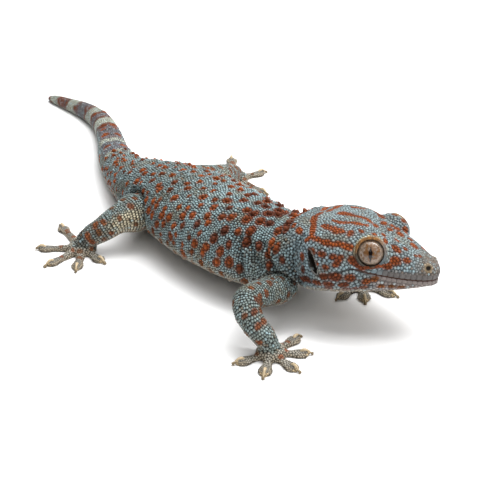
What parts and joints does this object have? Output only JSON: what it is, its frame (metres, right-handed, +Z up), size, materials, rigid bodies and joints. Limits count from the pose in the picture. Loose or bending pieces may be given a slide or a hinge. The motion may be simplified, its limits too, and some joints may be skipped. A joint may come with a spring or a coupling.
{
  "type": "tokay gecko",
  "caption": "Life-size tokay gecko model standing on spread toe pads, head turned left, tail laid along the floor, warty blue-grey skin with orange spots.",
  "frame": {"origin": "middle of the animal's box on the floor that it stands on", "axes": "+X along the trunk from the tail to the chest, +Y to the animal's left, +Z up"},
  "size_m": [0.2498, 0.113, 0.0375],
  "materials": {
    "head_skin": "satin, granular scales",
    "body_skin": "satin, granular scales and tubercles",
    "tail_skin": "satin, ringed scales",
    "limb_skin": "satin, overlapping scales",
    "foot_skin": "satin, fine scales with horn claws",
    "eye": "gloss, slit pupil"
  },
  "bodies": {
    "root": {"head": "head_skin", "eye_left": "eye", "eye_right": "eye", "neck": "body_skin", "torso": "body_skin", "tail_base": "tail_skin", "tail_middle": "tail_skin", "tail_tip": "tail_skin", "upper_arm_left": "limb_skin", "forearm_left": "limb_skin", "forefoot_left": "foot_skin", "upper_arm_right": "limb_skin", "forearm_right": "limb_skin", "forefoot_right": "foot_skin", "thigh_left": "limb_skin", "shank_left": "limb_skin", "hindfoot_left": "foot_skin", "thigh_right": "limb_skin", "shank_right": "limb_skin", "hindfoot_right": "foot_skin"}
  },
  "joints": []
}
